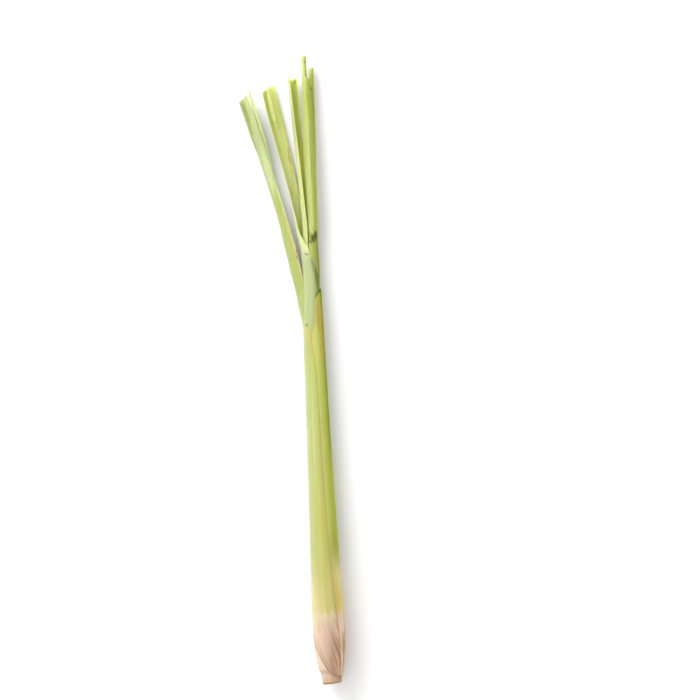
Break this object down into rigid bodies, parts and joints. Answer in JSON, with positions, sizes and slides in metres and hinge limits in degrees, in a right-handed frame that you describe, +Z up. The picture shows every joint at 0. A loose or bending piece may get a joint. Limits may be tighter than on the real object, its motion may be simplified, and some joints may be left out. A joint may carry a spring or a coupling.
{
  "type": "lemongrass stalk",
  "caption": "Cut lemongrass stalk lying down: a pale bulb at the root end, sheaths wrapped round each other, and narrow folded leaf blades that fan out to cut tips.",
  "frame": {"origin": "middle of the narrow flat strip on which the stalk rests, on the surface it lies on", "axes": "+Y along the stalk from the cut root end to the leaf tips, +Z up from the surface, +X to the right seen from above with the tips away"},
  "size_m": [0.0437, 0.3455, 0.0173],
  "materials": {
    "outer_sheath": "waxy leaf, pale yellow-green, cream to pink-tan on the bulb",
    "green_leaf": "waxy leaf, yellow-green with fine lengthwise ribs",
    "heart_leaf": "smooth young leaf, bright yellow-green",
    "stem": "pale tan stem with a browned fibrous cut"
  },
  "bodies": {
    "root": {"stem_base": "stem", "leaf_1": "outer_sheath", "leaf_2": "green_leaf", "leaf_3": "green_leaf", "leaf_4": "green_leaf", "leaf_5": "green_leaf", "leaf_6": "green_leaf", "leaf_heart": "heart_leaf"}
  },
  "joints": []
}
